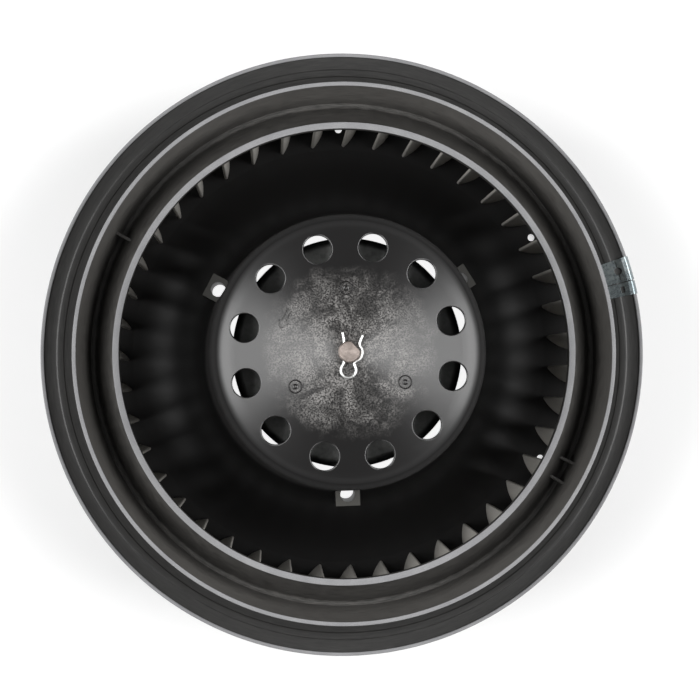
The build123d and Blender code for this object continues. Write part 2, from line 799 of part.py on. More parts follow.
def rear_end_bell():
    """Moulded rear cover: bearing seat, connector socket, fixing posts and card posts."""
    bell = ring_between(can_radius - bell_wall, can_radius, 0, can_bottom_z)
    spigot = can_inner_radius - spigot_clearance
    bell += ring_between(spigot - bell_wall, spigot, 0, bell_top_z)
    bell += disc_between(can_radius - bell_wall / 2, 0, bell_floor)
    bell += disc_between(housing_radius + housing_wall, 0, rear_bearing_z - housing_depth)
    bell += bearing_housing(rear_bearing_z, 1)
    shroud_height = socket_depth + socket_wall
    shroud = Box(socket_width + 2 * socket_wall, socket_height + 2 * socket_wall, shroud_height)
    bell += Pos(0, socket_y, shroud_height / 2) * shroud
    post = disc_between(fixing_post_radius, 0, fixing_depth + fixing_floor)
    for angle in fixing_angles:
        bell += at_polar(fixing_circle, angle, post)
    for angle in card_screw_angles:
        bell += at_polar(card_screw_circle, angle, disc_between(card_post_radius, 0, bell_top_z))
    for angle in fixing_angles:
        bell -= at_polar(fixing_circle, angle, disc_between(fixing_hole_radius, -cut_past, fixing_depth))
    for angle in card_screw_angles:
        hole = disc_between(card_screw_radius, card_top_z - card_screw_depth, bell_top_z + cut_past)
        bell -= at_polar(card_screw_circle, angle, hole)
    socket = Box(socket_width, socket_height, socket_depth + cut_past)
    bell -= Pos(0, socket_y, (socket_depth - cut_past) / 2) * socket
    for side in (-1, 1):
        slot = Box(terminal_width, terminal_sheet, 4 * socket_wall)
        bell -= Pos(side * terminal_pitch / 2, socket_y, shroud_height) * slot
    tap = Cylinder(bell_screw_radius, 4 * bell_wall, rotation=(0, 90, 0))
    for angle in bell_screw_angles:
        bell -= at_polar(spigot, angle, Pos(0, 0, bell_screw_z) * tap)
    return bell


def bell_screws():
    """Radial screws that hold the end bell in the can."""
    shank = Cylinder(bell_screw_radius, bell_screw_length, rotation=(0, 90, 0))
    head = Cylinder(bell_screw_head, bell_screw_head_height, rotation=(0, 90, 0))
    seat = can_radius + bell_screw_head_gap
    screw = Pos(seat - bell_screw_length / 2, 0, bell_screw_z) * shank
    screw += Pos(seat + bell_screw_head_height / 2, 0, bell_screw_z) * head
    return Compound([Rot(0, 0, angle) * screw for angle in bell_screw_angles])


def terminal(side):
    """One blade terminal, standing in the socket and soldered under the brush card."""
    height = card_z - terminal_recess
    blade = Box(terminal_width, terminal_sheet, height)
    return Pos(side * terminal_pitch / 2, socket_y, terminal_recess + height / 2) * blade


def brush_card():
    """The insulating card that carries the brush gear."""
    card_radius = can_inner_radius - spigot_clearance - card_edge_gap
    card = ring_between(card_inner_radius, card_radius, card_z, card_top_z)
    hole_radius = card_screw_radius + card_hole_clearance
    hole = disc_between(hole_radius, card_z - cut_past, card_top_z + cut_past)
    for angle in card_screw_angles:
        card -= at_polar(card_screw_circle, angle, hole)
    return card


def card_screws():
    """Two screws that hold the brush card on the end bell."""
    screw = disc_between(card_screw_radius, card_top_z - card_screw_depth, card_top_z)
    screw += disc_between(card_screw_head, card_top_z, card_top_z + card_screw_head_height)
    return Compound([at_polar(card_screw_circle, angle, screw) for angle in card_screw_angles])


def brush(angle):
    """A carbon block whose inner face follows the commutator."""
    block = Box(brush_length + cut_past, brush_width, brush_height,
                align=(Align.MIN, Align.CENTER, Align.CENTER))
    block = Pos(brush_start - cut_past, 0, brush_z) * block
    curve = disc_between(brush_start, brush_z - brush_height, brush_z + brush_height)
    return Rot(0, 0, angle) * (block - curve)


def brush_holder(angle):
    """A brass box guide, closed at its outer end and standing on the card."""
    inner_width = brush_width + 2 * brush_clearance
    inner_height = brush_height + 2 * brush_clearance
    foot = brush_z - inner_height / 2 - card_top_z
    top = brush_z + inner_height / 2 + holder_wall
    outer = Box(holder_length, inner_width + 2 * holder_wall, top - card_top_z,
                align=(Align.MIN, Align.CENTER, Align.MIN))
    guide = Box(holder_length - holder_wall, inner_width, inner_height,
                align=(Align.MIN, Align.CENTER, Align.MIN))
    holder = Pos(holder_start, 0, card_top_z) * outer - Pos(holder_start, 0, card_top_z + foot) * guide
    slot_length = holder_length - holder_slot_inset - holder_wall
    slot = Box(slot_length, holder_slot_width, holder_wall + 2 * cut_past,
               align=(Align.MIN, Align.CENTER, Align.MIN))
    holder -= Pos(holder_start + holder_slot_inset, 0, top - holder_wall - cut_past) * slot
    return Rot(0, 0, angle) * holder


def brush_spring(angle):
    """A coil spring between the brush and the closed end of its holder."""
    start = brush_start + brush_length + spring_end_gap + spring_wire_radius
    finish = holder_start + holder_length - holder_wall - spring_end_gap - spring_wire_radius
    length = finish - start
    line = Helix(length / spring_turns, length, spring_coil_radius)
    coil = sweep(Plane(line @ 0, z_dir=line % 0) * Circle(spring_wire_radius), line, is_frenet=True)
    return Rot(0, 0, angle) * Pos(start, 0, brush_z) * Rot(0, 90, 0) * coil


def choke_rod(angle):
    """The ferrite rod of a suppression choke, lying across its radius."""
    rod = Cylinder(choke_rod_radius, choke_rod_length, rotation=(90, 0, 0))
    return at_polar(choke_circle, angle, Pos(0, 0, card_top_z + choke_coil_radius) * rod)


def choke_coil(angle):
    """The copper winding on a choke's rod."""
    coil = Cylinder(choke_coil_radius, choke_coil_length)
    coil -= Cylinder(choke_rod_radius, choke_coil_length + 2 * cut_past)
    lying = Pos(0, 0, card_top_z + choke_coil_radius) * Rot(90, 0, 0) * coil
    return at_polar(choke_circle, angle, lying)


def build_wheel():
    """Write the wheel and what is fixed to it."""
    ring = inlet_ring()
    one_part(wheel_hub(), "wheel_hub")
    one_part(ring, "inlet_ring")
    one_part(wheel_blades(ring), "wheel_blades")
    one_part(balance_clip(large_clip_from, large_clip_to, large_clip_hole), "balance_clip_large")
    one_part(balance_clip(small_clip_from, small_clip_to, small_clip_hole), "balance_clip_small")
    one_part(hairpin_cotter(), "hairpin_cotter")


def build_armature():
    """Write the shaft and everything that turns on it inside the motor."""
    one_part(motor_shaft(), "motor_shaft")
    one_part(armature_core(), "armature_core")
    one_part(slot_insulator(stack_bottom_z - insulator_thickness), "slot_insulator_rear")
    one_part(slot_insulator(stack_top_z), "slot_insulator_front")
    one_part(armature_winding(), "armature_winding")
    one_part(commutator_core(), "commutator_core")
    one_part(commutator_bars(), "commutator_bars")
    one_part(front_spacer(), "shaft_spacer_front")
    one_part(rear_spacer(), "shaft_spacer_rear")
    one_part(thrust_washer(front_washer_z), "thrust_washer_front")
    one_part(thrust_washer(rear_washer_z), "thrust_washer_rear")
    one_part(oil_slinger(), "oil_slinger")


def build_stator():
    """Write the can, the magnets, the bearings and the rear end."""
    one_part(motor_can(), "motor_can")
    for index in range(magnet_count):
        one_part(magnet(index), f"magnet_{index + 1}")
        one_part(magnet_spring(index), f"magnet_spring_{index + 1}")
    one_part(bearing(front_bearing_z), "bearing_front")
    one_part(bearing(rear_bearing_z), "bearing_rear")
    one_part(oil_felt(front_bearing_z), "oil_felt_front")
    one_part(oil_felt(rear_bearing_z), "oil_felt_rear")
    front_retainer_z = front_bearing_z - seat_offset - retainer_sheet
    one_part(bearing_retainer(front_bearing_z, front_retainer_z), "bearing_retainer_front")
    one_part(bearing_retainer(rear_bearing_z, rear_bearing_z + seat_offset), "bearing_retainer_rear")
    one_part(rear_end_bell(), "rear_end_bell")
    one_part(bell_screws(), "end_bell_screws")
    one_part(terminal(-1), "terminal_negative")
    one_part(terminal(1), "terminal_positive")


def build_brush_gear():
    """Write the brush card and what stands on it."""
    one_part(brush_card(), "brush_card")
    one_part(card_screws(), "brush_card_screws")
    for name, angle in (("a", 0.0), ("b", 90.0)):
        one_part(brush(angle), f"carbon_brush_{name}")
        one_part(brush_holder(angle), f"brush_holder_{name}")
        one_part(brush_spring(angle), f"brush_spring_{name}")
    for index, angle in enumerate(choke_angles):
        one_part(choke_rod(angle), f"choke_rod_{index + 1}")
        one_part(choke_coil(angle), f"choke_coil_{index + 1}")


os.makedirs("parts", exist_ok=True)
build_wheel()
build_armature()
build_stator()
build_brush_gear()
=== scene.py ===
from math import asin, cos, pi, radians, sin

import bmesh
import bpy
from mathutils import Matrix, Vector


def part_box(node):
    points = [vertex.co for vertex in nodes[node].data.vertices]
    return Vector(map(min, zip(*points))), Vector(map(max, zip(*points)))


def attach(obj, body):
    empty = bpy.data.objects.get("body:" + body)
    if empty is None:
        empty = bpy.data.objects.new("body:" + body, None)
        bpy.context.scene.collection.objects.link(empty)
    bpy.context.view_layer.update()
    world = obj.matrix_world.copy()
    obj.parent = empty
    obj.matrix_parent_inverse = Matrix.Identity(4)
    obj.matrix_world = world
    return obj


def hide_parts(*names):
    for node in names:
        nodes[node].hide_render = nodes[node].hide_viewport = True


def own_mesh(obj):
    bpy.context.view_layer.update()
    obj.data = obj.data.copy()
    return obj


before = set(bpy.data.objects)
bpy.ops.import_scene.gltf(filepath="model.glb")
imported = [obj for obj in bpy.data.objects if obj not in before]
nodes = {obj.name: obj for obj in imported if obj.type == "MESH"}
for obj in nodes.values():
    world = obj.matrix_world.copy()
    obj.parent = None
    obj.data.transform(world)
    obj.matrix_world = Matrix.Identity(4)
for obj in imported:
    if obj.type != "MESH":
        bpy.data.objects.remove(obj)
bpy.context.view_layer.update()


# ---- Motor can -------------------------------------------------------------------------------
# The can is deep-drawn from zinc-plated steel sheet. Its closed front end holds the front
# bearing, and the armature turns inside it.

MM = 0.001


def linear(code):
    """The linear colour of an sRGB hex code."""
    channels = [int(code[place:place + 2], 16) / 255 for place in (0, 2, 4)]
    return [c / 12.92 if c <= 0.04045 else ((c + 0.055) / 1.055) ** 2.4 for c in channels] + [1.0]


def add(tree, kind, inputs, **settings):
    """One shader node: its settings, then each input's number, colour or link."""
    made = tree.nodes.new(kind)
    for name, value in settings.items():
        setattr(made, name, value)
    for socket, value in inputs.items():
        if isinstance(value, bpy.types.NodeSocket):
            tree.links.new(value, made.inputs[socket])
        else:
            made.inputs[socket].default_value = value
    return made


def new_material(name, **constants):
    """A material with one shader. Returns the material, its node tree and its shader."""
    material = bpy.data.materials.new(name)
    material.use_nodes = True
    shader = material.node_tree.nodes["Principled BSDF"]
    for socket, value in constants.items():
        shader.inputs[socket.replace("_", " ").title().replace("Ior", "IOR")].default_value = value
    return material, material.node_tree, shader


def grained(name, dark, light, grain, stretch=(1, 1, 1), relief=0.02, rough=(0.35, 0.5), **constants):
    """A finish with one grain, its size and relief in millimetres, stretched along some axes."""
    patch_scale = 0.06
    least, most = 0.12, 0.4
    relief_share = 0.6
    material, tree, shader = new_material(name, **constants)
    place = add(tree, "ShaderNodeTexCoord", {}).outputs["Object"]
    place = add(tree, "ShaderNodeMapping", {0: place, 3: stretch}).outputs[0]
    noise = add(tree, "ShaderNodeTexNoise", {"Vector": place, "Scale": 1 / (grain * MM), "Detail": 5.0})
    noise = noise.outputs[0]
    patches = add(tree, "ShaderNodeTexNoise", {"Vector": place, "Scale": patch_scale / (grain * MM)})
    share = add(tree, "ShaderNodeMath", {0: noise, 1: patches.outputs[0]}, operation="MULTIPLY").outputs[0]
    share = add(tree, "ShaderNodeMapRange", {0: share, 1: least, 2: most}).outputs[0]
    colour = add(tree, "ShaderNodeMix", {0: share, 6: linear(dark), 7: linear(light)}, data_type="RGBA")
    rough = add(tree, "ShaderNodeMapRange", {0: share, 3: rough[0], 4: rough[1]}).outputs[0]
    bump = add(tree, "ShaderNodeBump",
               {"Strength": relief_share, "Distance": relief * MM, "Height": noise})
    tree.links.new(colour.outputs[2], shader.inputs["Base Color"])
    tree.links.new(rough, shader.inputs["Roughness"])
    tree.links.new(bump.outputs[0], shader.inputs["Normal"])
    return material


def coat(material, *names):
    """Give CAD nodes a finish."""
    for name in names:
        nodes[name].data.materials.clear()
        nodes[name].data.materials.append(material)


# Zinc plate, passivated: a soft grey metal with a faint crystal mottle 2 mm across.
zinc = grained("zinc_plated_steel", "6a6b6a", "8f908e", 2.0, relief=0.01, rough=(0.38, 0.55),
               metallic=1.0)
coat(zinc, "motor_can", "end_bell_screws", "brush_card_screws")


# ---- Magnets and their springs ---------------------------------------------------------------
# Four sintered ferrite arcs are ground on their faces and pushed apart, against the can, by
# bent springs of blued steel. The chokes' rods are the same ferrite.

# Ground ferrite is a dull charcoal grey, with upright scratches from the wheel. They are drawn
# 0.3 mm apart, coarser than they are.
ferrite = grained("ground_ferrite", "2e2d2e", "454446", 0.3, stretch=(1, 1, 0.1), rough=(0.5, 0.7))
coat(ferrite, *[f"magnet_{index}" for index in range(1, 5)], "choke_rod_1", "choke_rod_2")
# Blued steel is dark, with a blue cast and the drawn streaks of rolled strip and wire.
blued = grained("blued_spring_steel", "2c3038", "5a606a", 0.5, stretch=(1, 1, 0.1), rough=(0.25, 0.4),
                metallic=1.0)
coat(blued, *[f"magnet_spring_{index}" for index in range(1, 5)])
coat(blued, "bearing_retainer_front", "bearing_retainer_rear", "brush_spring_a", "brush_spring_b")


# ---- Bearings --------------------------------------------------------------------------------
# Two balls of sintered bronze hold the shaft, each in a ring of wool felt soaked with oil.

# Sintered bronze is a brown gold, pitted all over by its pores, which are drawn coarser than
# they are, at 0.15 mm.
bronze = grained("sintered_bronze", "6e5130", "a58152", 0.15, relief=0.03, rough=(0.4, 0.6),
                 metallic=1.0)
coat(bronze, "bearing_front", "bearing_rear")
# Wool felt is a matt tan, fuzzy, and darker where the oil has soaked in.
felt = grained("oiled_wool_felt", "6b604a", "a3967a", 0.25, relief=0.15, rough=(0.8, 0.95))
coat(felt, "oil_felt_front", "oil_felt_rear")


# ---- Armature --------------------------------------------------------------------------------
# A stack of punched electrical steel is wound with enamelled copper wire, over fibre
# insulators, and the coils end in the copper bars of a phenolic commutator.

# The edges of the 0.5 mm sheets show as level lines of light and dark steel.
laminations = grained("electrical_steel", "50525a", "8b8d92", 0.5, stretch=(0.02, 0.02, 1), relief=0.1,
                      metallic=1.0)
coat(laminations, "armature_core")
# Enamel gives the copper a glossy red-brown, and the 0.8 mm strands lie side by side.
wire = grained("enamelled_copper", "6b2d14", "b5622f", 0.8, stretch=(1, 1, 0.08), relief=0.2,
               rough=(0.2, 0.4), metallic=0.8)
coat(wire, "armature_winding", "choke_coil_1", "choke_coil_2")
# Vulcanised fibre is pressed paper: a flat grey-buff with short fibres in it.
fibre = grained("vulcanised_fibre", "8d8776", "b9b39f", 0.2, rough=(0.6, 0.8))
coat(fibre, "slot_insulator_front", "slot_insulator_rear")
# Moulded phenolic is a dark, slightly shiny brown, clouded by its wood-flour filler.
phenolic = grained("moulded_phenolic", "2b1a10", "4a2e1d", 0.3, rough=(0.3, 0.5))
coat(phenolic, "commutator_core", "brush_card")
# The bars are turned and then polished by the brushes, so they shine in fine level rings.
copper = grained("turned_copper", "8a4a2a", "c07a50", 0.2, stretch=(0.1, 0.1, 1), rough=(0.2, 0.35),
                 metallic=1.0)
coat(copper, "commutator_bars")


# ---- Brush gear and rear end -----------------------------------------------------------------
# Two carbon brushes slide in brass boxes on the card. The end bell is moulded in black nylon
# with glass fibre, and carries the rear bearing, the socket and the fixing holes.

# Pressed carbon is a soft black, with graphite grains that glint a little.
carbon = grained("pressed_carbon", "1c1c1d", "3a3a3c", 0.1, rough=(0.5, 0.7))
coat(carbon, "carbon_brush_a", "carbon_brush_b")
# Rolled brass is a bright yellow metal with long, faint lines from the rolls.
brass = grained("rolled_brass", "8d7437", "bda25c", 0.4, stretch=(0.1, 1, 1), rough=(0.25, 0.4),
                metallic=1.0)
coat(brass, "brush_holder_a", "brush_holder_b")
# Dipped tin is a silvery white, smooth and slightly cloudy.
tin = grained("tinned_brass", "8f8f8a", "b9b9b4", 0.6, rough=(0.25, 0.4), metallic=1.0)
coat(tin, "terminal_negative", "terminal_positive")
# Glass-filled nylon is black and satin, with paler flecks where fibres lie at the skin. The
# flecks are drawn 0.5 mm wide, coarser than they are.
nylon = grained("glass_filled_nylon", "161617", "2c2c2d", 0.5, relief=0.03, rough=(0.4, 0.6))
coat(nylon, "rear_end_bell", "oil_slinger")


# ---- Brush springs ---------------------------------------------------------------------------
# A coil of blued steel wire stands behind each brush, against the closed end of its box. It
# presses the brush on the commutator, and closes up when the brush slides back.

def piece_from(bm, name, *materials, crease=35.0):
    """An object from a mesh drawn in millimetres: merged, facing outwards, smooth up to its creases."""
    bmesh.ops.remove_doubles(bm, verts=bm.verts[:], dist=0.002)
    bmesh.ops.recalc_face_normals(bm, faces=bm.faces[:])
    for face in bm.faces:
        face.smooth = True
    for edge in bm.edges:
        edge.smooth = edge.calc_face_angle(0.0) < radians(crease)
    bmesh.ops.scale(bm, vec=(MM, MM, MM), verts=bm.verts[:])
    mesh = bpy.data.meshes.new(name)
    bm.to_mesh(mesh)
    bm.free()
    for material in materials:
        mesh.materials.append(material)
    piece = bpy.data.objects.new(name, mesh)
    bpy.context.scene.collection.objects.link(piece)
    return piece


spring_wire = 0.3
spring_turns = 6
spring_steps = 24 * spring_turns
for letter, angle in (("a", 0.0), ("b", 90.0)):
    low, high = [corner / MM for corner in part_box(f"brush_spring_{letter}")]
    along = Vector((round(cos(radians(angle))), round(sin(radians(angle))), 0))
    room = (high - low).dot(along)
    rise = room - 2 * spring_wire
    coil_radius = (high.z - low.z) / 2 - spring_wire
    bm = bmesh.new()
    bmesh.ops.create_circle(bm, segments=12, radius=spring_wire)
    bmesh.ops.rotate(bm, verts=bm.verts[:], cent=(0, 0, 0), matrix=Matrix.Rotation(radians(90), 3, "X"))
    bmesh.ops.translate(bm, verts=bm.verts[:], vec=(coil_radius, 0, -rise / 2))
    bmesh.ops.spin(bm, geom=bm.verts[:] + bm.edges[:], cent=(0, 0, 0), axis=(0, 0, 1),
                   dvec=(0, 0, rise / spring_steps), angle=radians(360 * spring_turns),
                   steps=spring_steps)
    bmesh.ops.holes_fill(bm, edges=bm.edges[:], sides=12)
    bmesh.ops.rotate(bm, verts=bm.verts[:], cent=(0, 0, 0),
                     matrix=Vector((0, 0, 1)).rotation_difference(along).to_matrix())
    bmesh.ops.translate(bm, verts=bm.verts[:], vec=(low + high) / 2)
    spring = piece_from(bm, f"brush_coil_spring_{letter}", blued)
    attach(spring, "motor")
    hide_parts(f"brush_spring_{letter}")
    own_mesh(spring)


# ---- Shaft -----------------------------------------------------------------------------------
# The shaft is a centreless-ground steel bar. Its faced end shows the rings of the turning
# tool, dulled to a warm grey by a film of oil.

turning_pitch = 0.35
film_patch = 10 / 7
# Ground steel: bright metal under a brown-grey film, in patches 1.4 mm across. The rings are
# drawn 0.35 mm apart, coarser than they are, so that they show.
steel, tree, shader = new_material("ground_steel", metallic=1.0)
place = add(tree, "ShaderNodeTexCoord", {}).outputs["Object"]
flat_place = add(tree, "ShaderNodeVectorMath", {0: place, 1: (1, 1, 0)}, operation="MULTIPLY").outputs[0]
reach = add(tree, "ShaderNodeVectorMath", {0: flat_place}, operation="LENGTH").outputs["Value"]
rings = add(tree, "ShaderNodeMath", {0: reach, 1: 2 * pi / (turning_pitch * MM)}, operation="MULTIPLY")
rings = add(tree, "ShaderNodeMath", {0: rings.outputs[0]}, operation="SINE").outputs[0]
film = add(tree, "ShaderNodeTexNoise", {"Vector": place, "Scale": 1 / (film_patch * MM), "Detail": 4.0})
colour = add(tree, "ShaderNodeMix",
             {0: film.outputs[0], 6: linear("8a7f79"), 7: linear("bdb1aa")}, data_type="RGBA")
rough = add(tree, "ShaderNodeMapRange", {0: film.outputs[0], 3: 0.35, 4: 0.55}).outputs[0]
bump = add(tree, "ShaderNodeBump", {"Strength": 0.4, "Distance": 0.02 * MM, "Height": rings})
tree.links.new(colour.outputs[2], shader.inputs["Base Color"])
tree.links.new(rough, shader.inputs["Roughness"])
tree.links.new(bump.outputs[0], shader.inputs["Normal"])
coat(steel, "motor_shaft", "shaft_spacer_front", "shaft_spacer_rear")
coat(steel, "thrust_washer_front", "thrust_washer_rear")


# ---- Wheel hub -------------------------------------------------------------------------------
# The hub is injection-moulded in talc-filled polypropylene and pushed on the shaft. The skirt
# is glossy from a polished core, and talc blooms on the crown round its three gates.

crown_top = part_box("wheel_hub")[1].z / MM
crown_flat = 9.6
crown_slope = 2.6 / 41.2
skirt_starts = 5.5
crown_ends = 3.5
hub_black = "0d0c0c"
hub_bloom = "777573"
pad_painted_light = "3d3c39"
pad_top = 53.0
plate_sheen_ends, skirt_sheen_starts = 60.0, 100.0
bloom_edge = 40.0
bloom_heart = 16.0
bloom_patch = 7.0
bloom_smudge = 13.0
bloom_speck = 0.55
# Moulded polypropylene, black: dim on the skirt, and on the crown a sheen drawn out towards the rim by the
# turned mould, under a frost of talc. The level tops of the boss pads are painted grey, lighter than the hub
# round them: a painted highlight where they catch the lamps above the shaded hollow. The specks of talc are
# drawn 0.55 mm wide, coarser than they are, so that they show.
hub_plastic, tree, shader = new_material("talc_filled_polypropylene", anisotropic_rotation=0.25)
place = add(tree, "ShaderNodeTexCoord", {}).outputs["Object"]
flat_place = add(tree, "ShaderNodeVectorMath", {0: place, 1: (1, 1, 0)}, operation="MULTIPLY").outputs[0]
reach = add(tree, "ShaderNodeVectorMath", {0: flat_place}, operation="LENGTH").outputs["Value"]
height = add(tree, "ShaderNodeSeparateXYZ", {0: place}).outputs["Z"]
on_crown = add(tree, "ShaderNodeMapRange", {0: height, 1: (crown_top - skirt_starts) * MM,
                                            2: (crown_top - crown_ends) * MM}).outputs[0]
inwards = add(tree, "ShaderNodeMapRange", {0: reach, 1: bloom_edge * MM, 2: bloom_heart * MM,
                                           3: 0.0, 4: 1.0}).outputs[0]
patches = add(tree, "ShaderNodeTexNoise", {"Vector": place, "Scale": 1 / (bloom_patch * MM),
                                           "Detail": 7.0, "Roughness": 0.6}).outputs[0]
smudges = add(tree, "ShaderNodeTexNoise", {"Vector": place, "Scale": 1 / (bloom_smudge * MM),
                                           "Detail": 6.0, "Roughness": 0.65, "Distortion": 0.8}).outputs[0]
specks = add(tree, "ShaderNodeTexNoise", {"Vector": place, "Scale": 1 / (bloom_speck * MM),
                                          "Detail": 3.0}).outputs[0]
patch = add(tree, "ShaderNodeMath", {0: patches, 1: inwards}, operation="MULTIPLY").outputs[0]
patch = add(tree, "ShaderNodeMapRange", {0: patch, 1: 0.14, 2: 0.46}).outputs[0]
smudge = add(tree, "ShaderNodeMapRange", {0: smudges, 1: 0.4, 2: 0.54, 3: 0.2, 4: 1.0}).outputs[0]
speck = add(tree, "ShaderNodeMapRange", {0: specks, 1: 0.4, 2: 0.62, 3: 0.06, 4: 1.2}).outputs[0]
bloom = patch
for share in (speck, smudge, on_crown):
    bloom = add(tree, "ShaderNodeMath", {0: bloom, 1: share}, operation="MULTIPLY").outputs[0]
colour = add(tree, "ShaderNodeMix",
             {0: bloom, 6: linear(hub_black), 7: linear(hub_bloom)}, data_type="RGBA").outputs[2]
# Painted highlight: the level pad tops are painted grey.
on_pad = add(tree, "ShaderNodeMath", {0: height, 1: pad_top * MM, 2: 0.3 * MM}, operation="COMPARE")
colour = add(tree, "ShaderNodeMix",
             {0: on_pad.outputs[0], 6: colour, 7: linear(pad_painted_light)}, data_type="RGBA").outputs[2]
satin = add(tree, "ShaderNodeMapRange", {0: on_crown, 3: 0.45, 4: 0.44}).outputs[0]
low_shine = add(tree, "ShaderNodeMapRange", {0: height, 1: plate_sheen_ends * MM,
                                             2: skirt_sheen_starts * MM, 3: 0.3, 4: 0.1}).outputs[0]
shine = add(tree, "ShaderNodeMapRange", {0: on_crown, 3: low_shine, 4: 1.0}).outputs[0]
drawn = add(tree, "ShaderNodeMapRange", {0: on_crown, 3: 0.0, 4: 0.88}).outputs[0]
rough = add(tree, "ShaderNodeMath", {0: bloom, 1: 0.3, 2: satin}, operation="MULTIPLY_ADD").outputs[0]
bump = add(tree, "ShaderNodeBump", {"Strength": 0.35, "Distance": 0.02 * MM, "Height": specks})
tangent = add(tree, "ShaderNodeTangent", {}, direction_type="RADIAL", axis="Z")
tree.links.new(colour, shader.inputs["Base Color"])
tree.links.new(rough, shader.inputs["Roughness"])
tree.links.new(bump.outputs[0], shader.inputs["Normal"])
tree.links.new(tangent.outputs[0], shader.inputs["Tangent"])
tree.links.new(drawn, shader.inputs["Anisotropic"])
tree.links.new(shine, shader.inputs["Specular IOR Level"])
coat(hub_plastic, "wheel_hub")


def turned(bm, corners, steps):
    """Turn a closed section fully about Z. Each corner is (radius, height, rounding)."""
    before = set(bm.faces)
    points = [bm.verts.new((radius, 0, z)) for radius, z, rounding in corners]
    bm.faces.new(points)
    for rounding in sorted({corner[2] for corner in corners} - {0}):
        sharp = [point for point, corner in zip(points, corners) if corner[2] == rounding]
        bmesh.ops.bevel(bm, geom=sharp, offset=rounding, segments=3, profile=0.5,
                        affect="VERTICES", material=-1, clamp_overlap=True)
    section = next(face for face in bm.faces if face not in before)
    geometry = section.edges[:] + section.verts[:]
    bmesh.ops.delete(bm, geom=[section], context="FACES_ONLY")
    bmesh.ops.spin(bm, geom=geometry, cent=(0, 0, 0), axis=(0, 0, 1), angle=radians(360),
                   steps=steps, use_merge=True)


gate_circle = 23.6
gate_angles = (92.6, 212.9, 331.8)
gate_radius = 2.6
mark_line = 0.45
mark_rise = 0.3
mark_root = -0.5
nub_hollow, nub_top, nub_foot = 0.45, 1.05, 1.15
# The marks are shinier than the crown, because the tool rubs them clean of bloom.
clean_plastic = grained("clean_polypropylene", "121111", "1d1c1c", 0.5, rough=(0.2, 0.3))


def crown_height(radius):
    """The height of the crown's outer face at a radius."""
    return crown_top - max(0.0, radius - crown_flat) * crown_slope


# Each gate leaves a round mark: a raised ring with a nub in its middle.
bm = bmesh.new()
for angle in gate_angles:
    middle = Vector((gate_circle * cos(radians(angle)), gate_circle * sin(radians(angle)), 0))
    mark = bmesh.new()
    inner, outer = gate_radius - mark_line, gate_radius
    turned(mark, [(inner, mark_root, 0), (outer, mark_root, 0),
                  (outer, mark_rise, 0.1), (inner, mark_rise, 0.1)], 32)
    turned(mark, [(nub_hollow, mark_root, 0), (nub_foot, mark_root, 0),
                  (nub_top, mark_rise * 1.8, 0.15), (nub_hollow, mark_rise * 0.6, 0.1)], 20)
    for vertex in mark.verts:
        vertex.co += middle
        vertex.co.z += crown_height(vertex.co.xy.length)
    mesh = bpy.data.meshes.new("gate_mark")
    mark.to_mesh(mesh)
    mark.free()
    bm.from_mesh(mesh)
    bpy.data.meshes.remove(mesh)
gate_marks = piece_from(bm, "hub_gate_marks", clean_plastic)
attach(gate_marks, "rotor")

# The arrow for the wheel's rotation is a raised outline, drawn on the crown.
arrow_tail = Vector((-22.0, 15.4))
arrow_tip = Vector((-25.4, 8.6))
arrow_width = 1.5
arrow_head = 3.9
along = (arrow_tip - arrow_tail).normalized()
across = Vector((-along.y, along.x))
neck = arrow_tip - along * arrow_head * 0.75
shank, barb = across * arrow_width / 2, across * arrow_head / 2
outline = [arrow_tail + shank, neck + shank, neck + barb, arrow_tip,
           neck - barb, neck - shank, arrow_tail - shank]
bm = bmesh.new()
face = bm.faces.new([bm.verts.new((point.x, point.y, 0)) for point in outline])
line = bmesh.ops.inset_region(bm, faces=[face], thickness=mark_line * 0.8, use_boundary=True,
                              use_even_offset=True)["faces"]
bmesh.ops.delete(bm, geom=[face for face in bm.faces if face not in line], context="FACES_ONLY")
raised = bmesh.ops.extrude_face_region(bm, geom=bm.faces[:])["geom"]
top = [item for item in raised if isinstance(item, bmesh.types.BMVert)]
for vertex in bm.verts:
    vertex.co.z = crown_height(vertex.co.xy.length) + (mark_rise if vertex in top else mark_root)
arrow = piece_from(bm, "hub_rotation_arrow", clean_plastic)
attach(arrow, "rotor")


# ---- Blades ----------------------------------------------------------------------------------
# Forty-three forward-curved blades are moulded in one with the back plate, from the same
# plastic, and welded into the underside of the inlet ring.

blade_count = 43
blade_first = 5.5
blade_thickness = 1.4
blade_bend = 20.0
blade_inlet_angle = 50.0
blade_start = 88.94
blade_finish = 116.8
blade_foot, blade_blank = 10.1, 90.0
weld_depth = 0.25
lip_foot = 80.0
shroud_start, shroud_end = 90.19, 97.68
shroud_fall = 2.63
channel_foot = 60.3
flange_start = 101.4
flange_rise = 0.0957
blade_pit = 0.5
painted_light_starts, painted_light_ends = 106.0, 98.0


def ring_underside(radius):
    """The height of the inlet ring's underside at a radius."""
    if radius < shroud_start:
        return lip_foot
    if radius < shroud_end:
        return lip_foot - (radius - shroud_start) * shroud_fall
    if radius < flange_start:
        return channel_foot
    return channel_foot + (radius - flange_start) * flange_rise
